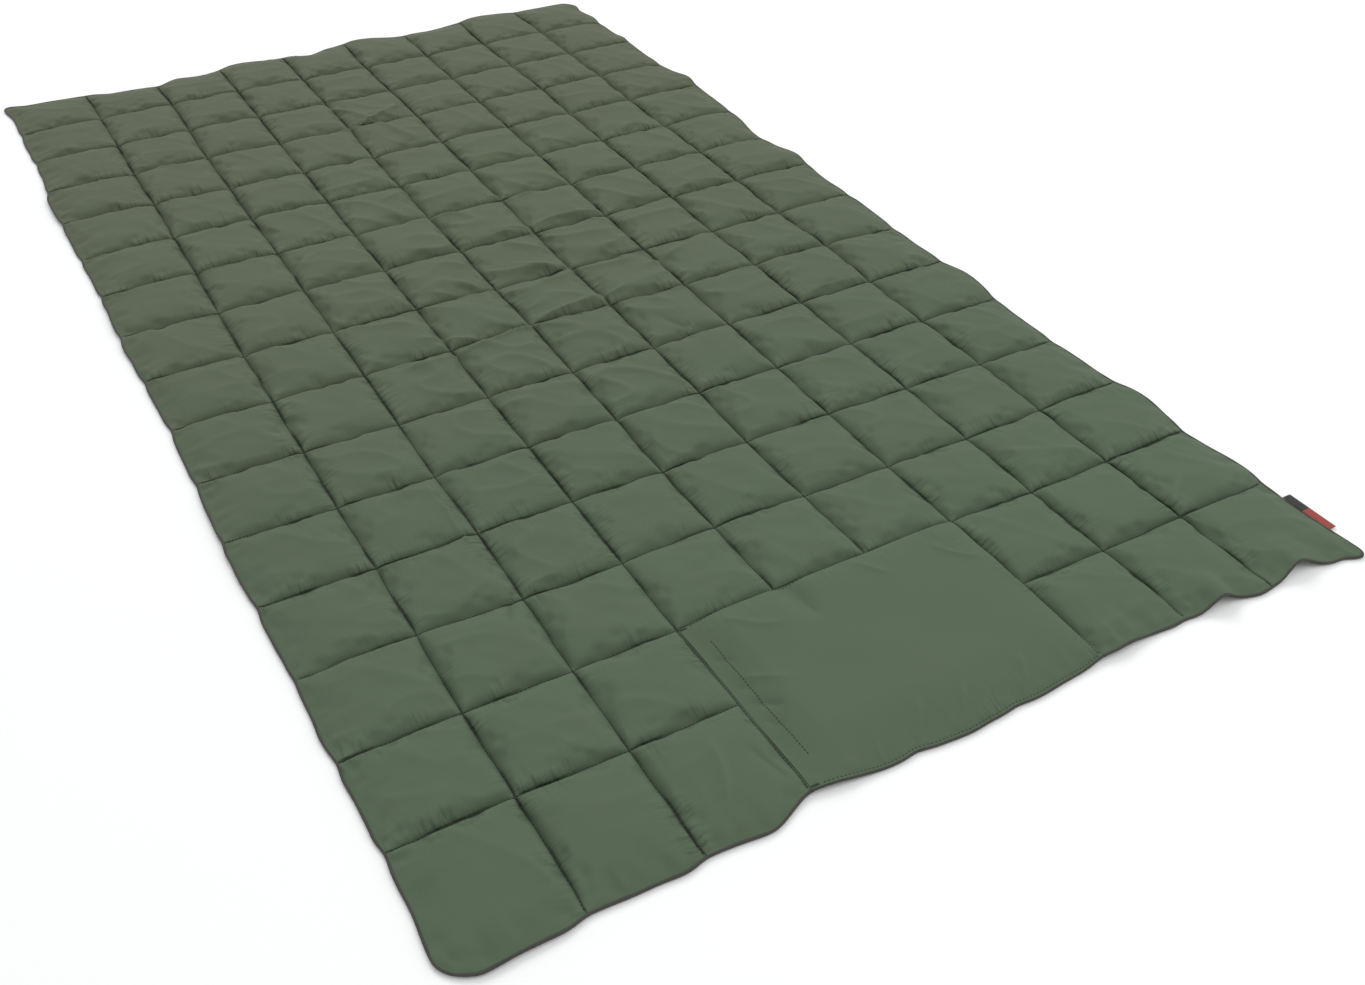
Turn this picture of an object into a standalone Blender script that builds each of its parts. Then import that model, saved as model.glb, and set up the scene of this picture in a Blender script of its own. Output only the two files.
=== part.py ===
# Quilted camp blanket with a stow pocket, folded in thirds along its length.
# X runs across the blanket, Y along it (pocket end at -Y), Z up from the ground.
# Lengths are in metres.
import bpy
import bmesh
import math

for item in list(bpy.data.objects):
    bpy.data.objects.remove(item, do_unlink=True)

# overall size and quilting grid
WIDTH = 1.070
LENGTH = 1.906
LOFT = 0.020
COLUMNS_PER_THIRD = 3
ROWS = 16
BORDER_COLUMN = 0.128
BORDER_ROW = 0.127
CORNER_RADIUS = 0.016
EDGE_MARGIN = 0.012

# layers, from the ground up
LINING_THICKNESS = 0.0008
SHELL_THICKNESS = 0.0008
SEAM_FILL = 0.0010
LAYER_GAP = 0.0004
PIECE_GAP = 0.0003

# each cell rises from its seams in two slopes
FIRST_SLOPE_RUN = 0.012
SECOND_SLOPE_RUN = 0.022
FIRST_SLOPE_SHARE = 0.62

# quilting thread
THREAD_WIDTH = 0.0012
THREAD_HEIGHT = 0.0005

# rolled edge binding
BINDING_DIAMETER = 0.0046

# fold lines run just outside the seams beside the pocket
FOLD_OFFSET = 0.0065
FOLD_GAP = 0.0004
FOLD_CLEARANCE = 0.0004

# stow pocket: a flat panel over three columns and two rows, open on its -X side
POCKET_COLUMNS = 3
POCKET_ROWS = 2
POCKET_HEIGHT = 0.0150
POCKET_PANEL_THICKNESS = 0.0008
POCKET_BASE_LOFT = 0.0065
POCKET_SLOPE_RUN = 0.024
POCKET_MARGIN = 0.0040
POCKET_MOUTH_INSET = 0.0020
HEM_WIDTH = 0.024
HEM_THICKNESS = 0.0012
HEM_STITCH_INSET = 0.0180
TACK_LENGTH = 0.0090
TACK_WIDTH = 0.0025
TACK_HEIGHT = 0.0008

# folded side label on the +X edge
LABEL_FROM_END = 0.0970
LABEL_DARK_LENGTH = 0.0280
LABEL_RED_LENGTH = 0.0370
LABEL_REACH = 0.0120
LABEL_THICKNESS = 0.0012
LABEL_HINGE_INSET = 0.0007

half_width = WIDTH / 2
half_length = LENGTH / 2
inner_columns = 3 * COLUMNS_PER_THIRD - 2
column_pitch = (WIDTH - 2 * BORDER_COLUMN) / inner_columns
row_pitch = (LENGTH - 2 * BORDER_ROW) / (ROWS - 2)
fold_x = POCKET_COLUMNS / 2 * column_pitch + FOLD_OFFSET
sheet_inset = BINDING_DIAMETER + PIECE_GAP
sheet_x = half_width - sheet_inset
sheet_y = half_length - sheet_inset

# heights of the layers where they are stitched together
fill_bottom = LINING_THICKNESS + PIECE_GAP
fill_seam_top = fill_bottom + SEAM_FILL
shell_seam_bottom = fill_seam_top + LAYER_GAP
shell_seam_top = shell_seam_bottom + SHELL_THICKNESS
cell_rise = LOFT - shell_seam_top
cell_slope = cell_rise * FIRST_SLOPE_SHARE / FIRST_SLOPE_RUN
thread_bottom = shell_seam_top + cell_slope * THREAD_WIDTH / 2 + PIECE_GAP
pocket_cell_rise = POCKET_BASE_LOFT - shell_seam_top

fabric_green = (0.102, 0.133, 0.093, 1.0)
lining_green = (0.085, 0.110, 0.078, 1.0)
binding_green = (0.060, 0.066, 0.052, 1.0)
thread_green = (0.050, 0.062, 0.045, 1.0)
fill_white = (0.780, 0.780, 0.760, 1.0)
label_black = (0.012, 0.012, 0.013, 1.0)
label_red = (0.420, 0.030, 0.025, 1.0)


def make_material(name, color, roughness):
    material = bpy.data.materials.new(name)
    material.use_nodes = True
    shader = material.node_tree.nodes["Principled BSDF"]
    shader.inputs["Base Color"].default_value = color
    shader.inputs["Roughness"].default_value = roughness
    shader.inputs["Metallic"].default_value = 0.0
    return material


def add_piece(name, bm, color, roughness, parent=None):
    """finish a mesh as one named object with its own material"""
    bmesh.ops.recalc_face_normals(bm, faces=bm.faces[:])
    mesh = bpy.data.meshes.new(name)
    if parent is not None:
        bmesh.ops.translate(bm, verts=bm.verts[:], vec=-parent.location)
    bm.to_mesh(mesh)
    bm.free()
    mesh.materials.append(make_material(name, color, roughness))
    piece = bpy.data.objects.new(name, mesh)
    bpy.context.scene.collection.objects.link(piece)
    if parent is not None:
        piece.parent = parent
    return piece


def add_pivot(name, location):
    pivot = bpy.data.objects.new(name, None)
    pivot.location = location
    bpy.context.scene.collection.objects.link(pivot)
    return pivot


def grid_sheet(xs, ys, z):
    """a flat sheet with one line of vertices at each given position"""
    bm = bmesh.new()
    across = len(xs) - 1
    along = len(ys) - 1
    bmesh.ops.create_grid(bm, x_segments=across, y_segments=along, size=1)
    for vert in bm.verts:
        i = round((vert.co.x + 1) / 2 * across)
        j = round((vert.co.y + 1) / 2 * along)
        vert.co = (xs[i], ys[j], z)
    return bm


def round_corners(bm, corners, radius):
    """round the sheet's outline at the given corner points"""
    picked = []
    for vert in bm.verts:
        for x, y in corners:
            if abs(vert.co.x - x) < 1e-5 and abs(vert.co.y - y) < 1e-5:
                picked.append(vert)
    if picked:
        bmesh.ops.bevel(bm, geom=picked, offset=radius, offset_type="OFFSET",
                        segments=4, profile=0.5, affect="VERTICES")


def thicken(bm, height):
    """extrude a whole sheet straight up into a closed solid"""
    grown = bmesh.ops.extrude_face_region(bm, geom=bm.faces[:])
    top = [item for item in grown["geom"] if isinstance(item, bmesh.types.BMVert)]
    bmesh.ops.translate(bm, verts=top, vec=(0, 0, height))
    return [item for item in grown["geom"] if isinstance(item, bmesh.types.BMFace)]


def puff(bm, faces, rise):
    """raise each cell between its seams"""
    first = rise * FIRST_SLOPE_SHARE
    bmesh.ops.inset_individual(bm, faces=faces, thickness=FIRST_SLOPE_RUN, depth=first,
                               use_even_offset=True)
    bmesh.ops.inset_individual(bm, faces=faces, thickness=SECOND_SLOPE_RUN, depth=rise - first,
                               use_even_offset=True)


def middle_of(face):
    return face.calc_center_median()


def is_cell(face):
    """cells are wider than the flat margin and the strip beside a fold"""
    xs = [vert.co.x for vert in face.verts]
    ys = [vert.co.y for vert in face.verts]
    narrowest_cell = min(column_pitch, row_pitch) / 2
    return min(max(xs) - min(xs), max(ys) - min(ys)) > narrowest_cell


def is_pocket_cell(face):
    return middle_of(face).y < pocket_far and abs(middle_of(face).x) < fold_x


def puff_cells(bm, faces, side):
    """full loft everywhere but under the pocket"""
    cells = [face for face in faces if is_cell(face)]
    low = [face for face in cells if side == 0 and is_pocket_cell(face)]
    high = [face for face in cells if face not in low]
    puff(bm, high, cell_rise)
    if low:
        puff(bm, low, pocket_cell_rise)


def seam_rows():
    """seams across the blanket, from the near end to the far end"""
    return [-half_length + BORDER_ROW + i * row_pitch for i in range(ROWS - 1)]


def row_lines():
    """the seams with the sheet's two ends and their flat margins"""
    low = [-sheet_y, -sheet_y + EDGE_MARGIN]
    return low + seam_rows() + [-y for y in reversed(low)]


def seam_columns(side):
    """seams along one third: side is -1, 0 or 1"""
    if side == 0:
        return [-pocket_right + i * column_pitch for i in range(COLUMNS_PER_THIRD + 1)]
    lines = [pocket_right + i * column_pitch for i in range(1, COLUMNS_PER_THIRD)]
    return mirrored(lines) if side < 0 else lines


def column_lines(side):
    """the seams with the fold lines, the sheet's side and its flat margin"""
    if side == 0:
        return [-fold_x] + seam_columns(0) + [fold_x]
    lines = [fold_x + FOLD_GAP] + seam_columns(1) + [sheet_x - EDGE_MARGIN, sheet_x]
    return mirrored(lines) if side < 0 else lines


def mirrored(lines):
    return [-x for x in reversed(lines)]


def outer_corners(side):
    if side == 0:
        return []
    return [(side * sheet_x, -sheet_y), (side * sheet_x, sheet_y)]


pocket_far = -half_length + BORDER_ROW + (POCKET_ROWS - 1) * row_pitch
pocket_right = POCKET_COLUMNS / 2 * column_pitch
pocket_mouth = -pocket_right + POCKET_MOUTH_INSET


def add_layers(label, side, pivot):
    """lining, filling and top shell of one third"""
    corner = CORNER_RADIUS - sheet_inset
    rows = row_lines()
    columns = column_lines(side)
    corners = outer_corners(side)

    bm = grid_sheet([columns[0], columns[-1]], [rows[0], rows[-1]], 0)
    round_corners(bm, corners, corner)
    thicken(bm, LINING_THICKNESS)
    add_piece("lining_" + label, bm, lining_green, 0.85, pivot)

    bm = grid_sheet(columns, rows, fill_bottom)
    round_corners(bm, corners, corner)
    puff_cells(bm, thicken(bm, SEAM_FILL), side)
    add_piece("batting_" + label, bm, fill_white, 0.95, pivot)

    bm = grid_sheet(columns, rows, shell_seam_bottom)
    round_corners(bm, corners, corner)
    puff_cells(bm, bm.faces[:], side)
    thicken(bm, SHELL_THICKNESS)
    add_piece("top_shell_" + label, bm, fabric_green, 0.70, pivot)


def add_stitching(label, side, pivot):
    """the grid of quilting thread of one third, lying on its seams"""
    half = THREAD_WIDTH / 2
    rows = seam_rows()
    seams = seam_columns(side)
    columns = column_lines(side)
    low_y = -sheet_y
    if side == 0:
        low_y = pocket_far + TACK_WIDTH
        rows = [y for y in rows if y > low_y]
    xs = [columns[0]]
    for x in seams:
        xs += [x - half, x + half]
    xs.append(columns[-1])
    ys = [low_y]
    for y in rows:
        ys += [y - half, y + half]
    ys.append(sheet_y)

    bm = grid_sheet(xs, ys, thread_bottom)
    between = []
    for face in bm.faces:
        center = middle_of(face)
        on_column = any(abs(center.x - x) < half for x in seams)
        on_row = any(abs(center.y - y) < half for y in rows)
        if not on_column and not on_row:
            between.append(face)
    bmesh.ops.delete(bm, geom=between, context="FACES")
    thicken(bm, THREAD_HEIGHT)
    add_piece("quilt_stitching_" + label, bm, thread_green, 0.80, pivot)


def add_binding(name, points, pivot=None):
    """a rolled tape that follows the outline through the given points"""
    curve = bpy.data.curves.new(name, "CURVE")
    curve.dimensions = "3D"
    curve.bevel_depth = BINDING_DIAMETER / 2
    curve.bevel_resolution = 2
    curve.use_fill_caps = True
    spline = curve.splines.new("POLY")
    spline.points.add(len(points) - 1)
    origin = pivot.location if pivot else (0, 0, 0)
    height = PIECE_GAP + BINDING_DIAMETER / 2
    for point, (x, y) in zip(spline.points, points):
        point.co = (x - origin[0], y - origin[1], height - origin[2], 1)
    spline.use_smooth = True
    curve.materials.append(make_material(name, binding_green, 0.75))
    piece = bpy.data.objects.new(name, curve)
    bpy.context.scene.collection.objects.link(piece)
    if pivot:
        piece.parent = pivot


def binding_path(side):
    """centre line of one wing's tape: near edge, rounded corner, side, corner, far edge"""
    start = side * (fold_x + FOLD_GAP)
    x = half_width - BINDING_DIAMETER / 2
    y = half_length - BINDING_DIAMETER / 2
    radius = CORNER_RADIUS - BINDING_DIAMETER / 2
    steps = 6
    points = [(start, -y)]
    for i in range(steps + 1):
        turn = math.radians(90 * i / steps)
        points.append((side * (x - radius + radius * math.sin(turn)),
                       -y + radius - radius * math.cos(turn)))
    for i in range(steps + 1):
        turn = math.radians(90 * i / steps)
        points.append((side * (x - radius + radius * math.cos(turn)),
                       y - radius + radius * math.sin(turn)))
    points.append((start, y))
    return points


def add_box(name, low, high, color, roughness, pivot=None):
    bm = grid_sheet([low[0], high[0]], [low[1], high[1]], low[2])
    thicken(bm, high[2] - low[2])
    add_piece(name, bm, color, roughness, pivot)


# the middle third lies on the ground; the wings fold over it one after the other
left_fold_height = LOFT + FOLD_CLEARANCE
right_fold_height = (3 * LOFT + 3 * FOLD_CLEARANCE) / 2
left_pivot = add_pivot("left_fold", (-fold_x, 0, left_fold_height))
right_pivot = add_pivot("right_fold", (fold_x, 0, right_fold_height))

add_layers("middle", 0, None)
add_layers("left", -1, left_pivot)
add_layers("right", 1, right_pivot)
add_stitching("middle", 0, None)
add_stitching("left", -1, left_pivot)
add_stitching("right", 1, right_pivot)

add_binding("binding_left", binding_path(-1), left_pivot)
add_binding("binding_right", binding_path(1), right_pivot)
edge_y = half_length - BINDING_DIAMETER / 2
add_binding("binding_middle_near", [(-fold_x, -edge_y), (fold_x, -edge_y)])
add_binding("binding_middle_far", [(-fold_x, edge_y), (fold_x, edge_y)])

# pocket panel: flat on top, sloping down to a stitched margin on three sides
base_slope = pocket_cell_rise * FIRST_SLOPE_SHARE / FIRST_SLOPE_RUN
margin_bottom = shell_seam_top + base_slope * POCKET_MARGIN + PIECE_GAP
panel_top_bottom = POCKET_HEIGHT - POCKET_PANEL_THICKNESS
pocket_near = -sheet_y
hem_inner = pocket_mouth + HEM_WIDTH
hem_near = pocket_near + POCKET_MARGIN + POCKET_SLOPE_RUN
hem_far = pocket_far - POCKET_MARGIN - POCKET_SLOPE_RUN
panel_xs = [pocket_mouth, hem_inner, pocket_right - POCKET_MARGIN - POCKET_SLOPE_RUN,
            pocket_right - POCKET_MARGIN, pocket_right - THREAD_WIDTH]
panel_ys = [pocket_near, pocket_near + POCKET_MARGIN, hem_near, hem_far,
            pocket_far - POCKET_MARGIN, pocket_far - THREAD_WIDTH]
bm = grid_sheet(panel_xs, panel_ys, margin_bottom)
for vert in bm.verts:
    if vert.co.x < panel_xs[2] + 1e-5 and hem_near - 1e-5 < vert.co.y < hem_far + 1e-5:
        vert.co.z = panel_top_bottom

# the two corners fold along the diagonal that keeps them clear of the quilting below
for face in bm.faces[:]:
    raised = [vert for vert in face.verts if vert.co.z > margin_bottom + 1e-6]
    if len(raised) == 1:
        across = max(face.verts, key=lambda vert: (vert.co - raised[0].co).length)
        bmesh.utils.face_split(face, raised[0], across)

hem_faces = []
for face in bm.faces:
    center = middle_of(face)
    if center.x < hem_inner and hem_near < center.y < hem_far:
        hem_faces.append(face)
bmesh.ops.delete(bm, geom=hem_faces, context="FACES")
thicken(bm, POCKET_PANEL_THICKNESS)
add_piece("pocket_panel", bm, fabric_green, 0.70)

# the panel's stitching runs along the margin on three sides
margin_top = margin_bottom + POCKET_PANEL_THICKNESS
stitch_bottom = margin_top + PIECE_GAP
stitch_right = pocket_right - POCKET_MARGIN / 2
stitch_near = pocket_near + POCKET_MARGIN / 2
stitch_far = pocket_far - POCKET_MARGIN / 2
stitch_start = pocket_mouth + TACK_LENGTH + 2 * PIECE_GAP
half_thread = THREAD_WIDTH / 2
bm = grid_sheet([stitch_start, stitch_right - half_thread, stitch_right + half_thread],
                [stitch_near - half_thread, stitch_near + half_thread,
                 stitch_far - half_thread, stitch_far + half_thread], stitch_bottom)
inside = []
for face in bm.faces:
    center = middle_of(face)
    between_rows = stitch_near + half_thread < center.y < stitch_far - half_thread
    if between_rows and center.x < stitch_right - half_thread:
        inside.append(face)
bmesh.ops.delete(bm, geom=inside, context="FACES")
thicken(bm, THREAD_HEIGHT)
add_piece("pocket_stitching", bm, thread_green, 0.80)

# a bar tack at each end of the mouth
for label, y in (("near", stitch_near), ("far", stitch_far)):
    add_box("mouth_tack_" + label,
            (pocket_mouth + PIECE_GAP, y - TACK_WIDTH / 2, stitch_bottom),
            (pocket_mouth + PIECE_GAP + TACK_LENGTH, y + TACK_WIDTH / 2, stitch_bottom + TACK_HEIGHT),
            thread_green, 0.80)

# the mouth's hem lifts about its inner edge
hem_axis_z = POCKET_HEIGHT - HEM_THICKNESS / 2
hem_pivot = add_pivot("pocket_mouth", (hem_inner, (hem_near + hem_far) / 2, hem_axis_z))
add_box("pocket_hem",
        (pocket_mouth, hem_near + PIECE_GAP, POCKET_HEIGHT - HEM_THICKNESS),
        (hem_inner - 2 * PIECE_GAP, hem_far - PIECE_GAP, POCKET_HEIGHT),
        fabric_green, 0.70, hem_pivot)
hem_stitch_x = pocket_mouth + HEM_STITCH_INSET
add_box("hem_stitching",
        (hem_stitch_x - half_thread, hem_near + 2 * PIECE_GAP, POCKET_HEIGHT + PIECE_GAP),
        (hem_stitch_x + half_thread, hem_far - 2 * PIECE_GAP,
         POCKET_HEIGHT + PIECE_GAP + THREAD_HEIGHT),
        thread_green, 0.80, hem_pivot)

# the two-tone label flaps about its sewn edge, just clear of the binding
label_z = PIECE_GAP + BINDING_DIAMETER / 2
label_start = -half_length + LABEL_FROM_END
label_middle = label_start - LABEL_DARK_LENGTH
label_x = half_width + PIECE_GAP
label_axis_x = label_x + LABEL_HINGE_INSET
label_pivot = add_pivot("label_flap", (label_axis_x, label_middle, label_z))
label_pivot.parent = right_pivot
label_pivot.location = (label_axis_x - fold_x, label_middle, label_z - right_fold_height)


def add_label(name, near, far, color):
    """one colour of the label, placed under the label's own pivot"""
    low = (label_x - label_axis_x, near - label_middle, -LABEL_THICKNESS / 2)
    high = (label_x + LABEL_REACH - label_axis_x, far - label_middle, LABEL_THICKNESS / 2)
    bm = grid_sheet([low[0], high[0]], [low[1], high[1]], low[2])
    thicken(bm, high[2] - low[2])
    piece = add_piece(name, bm, color, 0.60)
    piece.parent = label_pivot


add_label("label_dark", label_middle + PIECE_GAP / 2, label_start, label_black)
add_label("label_red", label_middle - LABEL_RED_LENGTH, label_middle - PIECE_GAP / 2, label_red)

bpy.context.view_layer.update()
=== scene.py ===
import math

import bmesh
import bpy
import numpy as np
from mathutils import Matrix, Vector


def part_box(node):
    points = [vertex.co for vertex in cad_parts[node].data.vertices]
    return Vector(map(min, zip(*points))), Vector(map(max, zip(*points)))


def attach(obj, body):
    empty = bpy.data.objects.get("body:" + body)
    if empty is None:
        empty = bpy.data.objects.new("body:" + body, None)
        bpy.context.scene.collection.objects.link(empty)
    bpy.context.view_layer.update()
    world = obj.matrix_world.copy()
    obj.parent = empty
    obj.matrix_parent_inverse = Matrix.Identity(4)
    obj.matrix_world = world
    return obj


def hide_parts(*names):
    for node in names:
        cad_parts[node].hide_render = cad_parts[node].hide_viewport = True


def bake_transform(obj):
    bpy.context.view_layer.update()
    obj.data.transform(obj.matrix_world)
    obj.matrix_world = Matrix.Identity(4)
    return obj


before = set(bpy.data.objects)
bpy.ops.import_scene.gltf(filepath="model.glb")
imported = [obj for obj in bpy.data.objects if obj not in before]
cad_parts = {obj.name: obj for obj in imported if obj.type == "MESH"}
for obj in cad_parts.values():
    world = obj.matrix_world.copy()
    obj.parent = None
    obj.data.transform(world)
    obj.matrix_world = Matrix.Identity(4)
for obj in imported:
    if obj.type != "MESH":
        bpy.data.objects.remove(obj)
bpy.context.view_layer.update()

scene = bpy.context.scene


def linear(hexColor):
    parts = [int(hexColor[i:i + 2], 16) / 255 for i in (1, 3, 5)]
    return tuple(c / 12.92 if c <= 0.04045 else ((c + 0.055) / 1.055) ** 2.4 for c in parts) + (1.0,)


def addNode(tree, kind, inputs=None, **settings):
    node = tree.nodes.new(kind)
    for name, value in settings.items():
        setattr(node, name, value)
    for name, value in (inputs or {}).items():
        if isinstance(value, bpy.types.NodeSocket):
            tree.links.new(value, node.inputs[name])
        else:
            node.inputs[name].default_value = value
    return node


def newMaterial(name):
    material = bpy.data.materials.new(name)
    material.use_nodes = True
    material.node_tree.nodes.clear()
    return material, material.node_tree


# the camera's place, and the light

shot = {
    "target": (-0.0557, -0.5127, 0.0),   # metres
    "distance": 1.6344,
    "azimuth": -30.36,                   # degrees, towards the blanket's left side
    "elevation": 38.32,
    "roll": 0.79,
    "lens": 37.86,                       # mm on a 36 mm sensor
}

studio = {
    "sky": "#fcfdff", "skyStrength": 0.745,
    "keyPlace": (1.6, 8.4, 7.0), "keySize": 5.0, "keyPower": 440.0,    # a large soft box behind
    "fillPlace": (3.6, -2.4, 3.6), "fillSize": 4.0, "fillPower": 68.0,
    "floor": "#fcfcfb", "floorSize": 60.0,
}


def makeCamera():
    azimuth, elevation, roll = (math.radians(shot[k]) for k in ("azimuth", "elevation", "roll"))
    back = Vector((math.sin(azimuth) * math.cos(elevation),
                   -math.cos(azimuth) * math.cos(elevation), math.sin(elevation)))
    level = Vector((math.cos(azimuth), math.sin(azimuth), 0))
    rise = back.cross(level)
    across = math.cos(roll) * level + math.sin(roll) * rise
    upward = -math.sin(roll) * level + math.cos(roll) * rise
    place = Matrix((across, upward, back)).transposed().to_4x4()
    place.translation = Vector(shot["target"]) + back * shot["distance"]
    data = bpy.data.cameras.new("camera")
    data.lens = shot["lens"]
    data.sensor_width = 36.0
    camera = bpy.data.objects.new("camera", data)
    camera.matrix_world = place
    scene.collection.objects.link(camera)
    scene.camera = camera


def softBox(name, place, size, power):
    data = bpy.data.lights.new(name, "AREA")
    data.shape = "SQUARE"
    data.size = size
    data.energy = power
    lamp = bpy.data.objects.new(name, data)
    lamp.location = place
    lamp.rotation_euler = (-Vector(place)).to_track_quat("-Z", "Y").to_euler()
    scene.collection.objects.link(lamp)


def makeStudio():
    world = bpy.data.worlds.new("studio")
    world.use_nodes = True
    background = world.node_tree.nodes["Background"]
    background.inputs["Color"].default_value = linear(studio["sky"])
    background.inputs["Strength"].default_value = studio["skyStrength"]
    scene.world = world
    scene.view_settings.view_transform = "Standard"
    softBox("key_light", studio["keyPlace"], studio["keySize"], studio["keyPower"])
    softBox("fill_light", studio["fillPlace"], studio["fillSize"], studio["fillPower"])
    bm = bmesh.new()
    bmesh.ops.create_grid(bm, x_segments=1, y_segments=1, size=studio["floorSize"] / 2)
    mesh = bpy.data.meshes.new("floor")
    bm.to_mesh(mesh)
    bm.free()
    mesh.materials.append(paintedFloor())
    floor = bpy.data.objects.new("floor", mesh)
    scene.collection.objects.link(floor)


def paintedFloor():
    # matt white paint: no gloss, so the blanket stands on an even pale ground
    material, tree = newMaterial("matt_white_paint")
    shader = addNode(tree, "ShaderNodeBsdfPrincipled",
                     {"Base Color": linear(studio["floor"]), "Roughness": 0.9, "Specular IOR Level": 0.1})
    addNode(tree, "ShaderNodeOutputMaterial", {"Surface": shader.outputs[0]})
    return material


makeCamera()
makeStudio()
print("studio ready")


# materials

wavePeriod = 0.314            # a wave texture repeats every 0.314 over its scale

shellLook = {
    "nearTint": "#556450", "farTint": "#575e4a",     # greener at the near end, browner at the far end
    "tintFrom": -0.75, "tintTo": 0.55,          # metres along the blanket
    "mottle": 0.045, "uneven": 0.5,             # metres across one patch of the uneven dye, and its share
    "grooveShade": 0.92, "shadeAndRub": 1.07,             # how dark a groove is painted as shade, and how pale a crest is painted, partly as rubbed wear and partly as painted highlight
    "thread": 0.00045,        # metres from thread to thread
    "nap": 0.0011,            # the brushed pile, drawn coarser than real so that it shows
    "gatherPitch": 0.0075, "gatherRun": 0.026, "gatherHeight": 0.0090,     # puckers beside the stitches
}


def wovenHeight(tree, place, pitch):
    # two sets of threads crossing
    scale = wavePeriod / pitch
    warp = addNode(tree, "ShaderNodeTexWave", {"Vector": place, "Scale": scale},
                   wave_type="BANDS", bands_direction="X", wave_profile="SIN")
    weft = addNode(tree, "ShaderNodeTexWave", {"Vector": place, "Scale": scale},
                   wave_type="BANDS", bands_direction="Y", wave_profile="SIN")
    return addNode(tree, "ShaderNodeMath", {0: warp.outputs["Fac"], 1: weft.outputs["Fac"]},
                   operation="MULTIPLY").outputs[0]


def gatherHeight(tree, place):
    # small puckers square to each stitch line, strong where the cloth's own gathers say so
    amounts = addNode(tree, "ShaderNodeAttribute", attribute_name="gathers").outputs["Vector"]
    amounts = addNode(tree, "ShaderNodeSeparateXYZ", {0: amounts})
    pitch, run = 1 / shellLook["gatherPitch"], 1 / shellLook["gatherRun"]
    heights = []
    for axis, scale in (("X", (run, pitch, 0.0)), ("Y", (pitch, run, 0.0))):
        stretched = addNode(tree, "ShaderNodeMapping", {"Vector": place, "Scale": scale})
        folds = addNode(tree, "ShaderNodeTexNoise",
                        {"Vector": stretched.outputs[0], "Scale": 1.0, "Detail": 1.5})
        heights.append(addNode(tree, "ShaderNodeMath", {0: folds.outputs["Fac"], 1: amounts.outputs[axis]},
                               operation="MULTIPLY").outputs[0])
    return addNode(tree, "ShaderNodeMath", {0: heights[0], 1: heights[1]}, operation="ADD").outputs[0]


def brushedMicrofibre():
    # brushed polyester microfibre: a matt, slightly peachy face with a fine plain weave under the pile
    material, tree = newMaterial("brushed_polyester_microfibre")
    place = addNode(tree, "ShaderNodeTexCoord").outputs["Object"]
    patches = addNode(tree, "ShaderNodeTexNoise", {"Vector": place, "Scale": 1 / shellLook["mottle"],
                                                   "Detail": 4.0, "Roughness": 0.6})
    along = addNode(tree, "ShaderNodeSeparateXYZ", {0: place}).outputs["Y"]
    farTint = addNode(tree, "ShaderNodeMapRange", {"Value": along, "From Min": shellLook["tintFrom"],
                                                 "From Max": shellLook["tintTo"]}).outputs["Result"]
    drift = addNode(tree, "ShaderNodeMath",
                    {0: patches.outputs["Fac"], 1: shellLook["uneven"], 2: farTint}, operation="MULTIPLY_ADD")
    tint = addNode(tree, "ShaderNodeMath", {0: drift.outputs[0], 1: shellLook["uneven"] / 2},
                   operation="SUBTRACT", use_clamp=True)
    dyed = addNode(tree, "ShaderNodeMix", {0: tint.outputs[0], 6: linear(shellLook["nearTint"]),
                                           7: linear(shellLook["farTint"])}, data_type="RGBA")
    # painted shade darkens the grooves of the creases and the seams; crests are painted paler, partly as
    # rubbed wear and partly as painted highlight
    shadeAndWear = addNode(tree, "ShaderNodeAttribute", attribute_name="shadeAndWear").outputs["Fac"]
    share = addNode(tree, "ShaderNodeMapRange", {"Value": shadeAndWear, "From Min": -1.0, "From Max": 1.0,
                                                 "To Min": shellLook["grooveShade"],
                                                 "To Max": shellLook["shadeAndRub"]}).outputs["Result"]
    color = addNode(tree, "ShaderNodeVectorMath", {0: dyed.outputs[2], "Scale": share},
                    operation="SCALE").outputs["Vector"]
    pile = addNode(tree, "ShaderNodeTexNoise", {"Vector": place, "Scale": 1 / shellLook["nap"],
                                                "Detail": 3.0, "Roughness": 0.65})
    weave = wovenHeight(tree, place, shellLook["thread"])
    gatherBump = addNode(tree, "ShaderNodeBump", {"Height": gatherHeight(tree, place), "Strength": 1.0,
                                                  "Distance": shellLook["gatherHeight"]})
    napBump = addNode(tree, "ShaderNodeBump", {"Height": pile.outputs["Fac"], "Strength": 0.22,
                                               "Distance": 0.00035, "Normal": gatherBump.outputs["Normal"]})
    weaveBump = addNode(tree, "ShaderNodeBump", {"Height": weave, "Strength": 0.22, "Distance": 0.00012,
                                                 "Normal": napBump.outputs["Normal"]})
    shader = addNode(tree, "ShaderNodeBsdfPrincipled",
                     {"Base Color": color, "Roughness": 0.82, "Specular IOR Level": 0.16,
                      "Sheen Weight": 0.04, "Sheen Roughness": 0.5, "Normal": weaveBump.outputs["Normal"]})
    addNode(tree, "ShaderNodeOutputMaterial", {"Surface": shader.outputs[0]})
    return material


liningLook = {"color": "#4b5546", "pale": "#505a4a", "thread": 0.00035}


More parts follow.
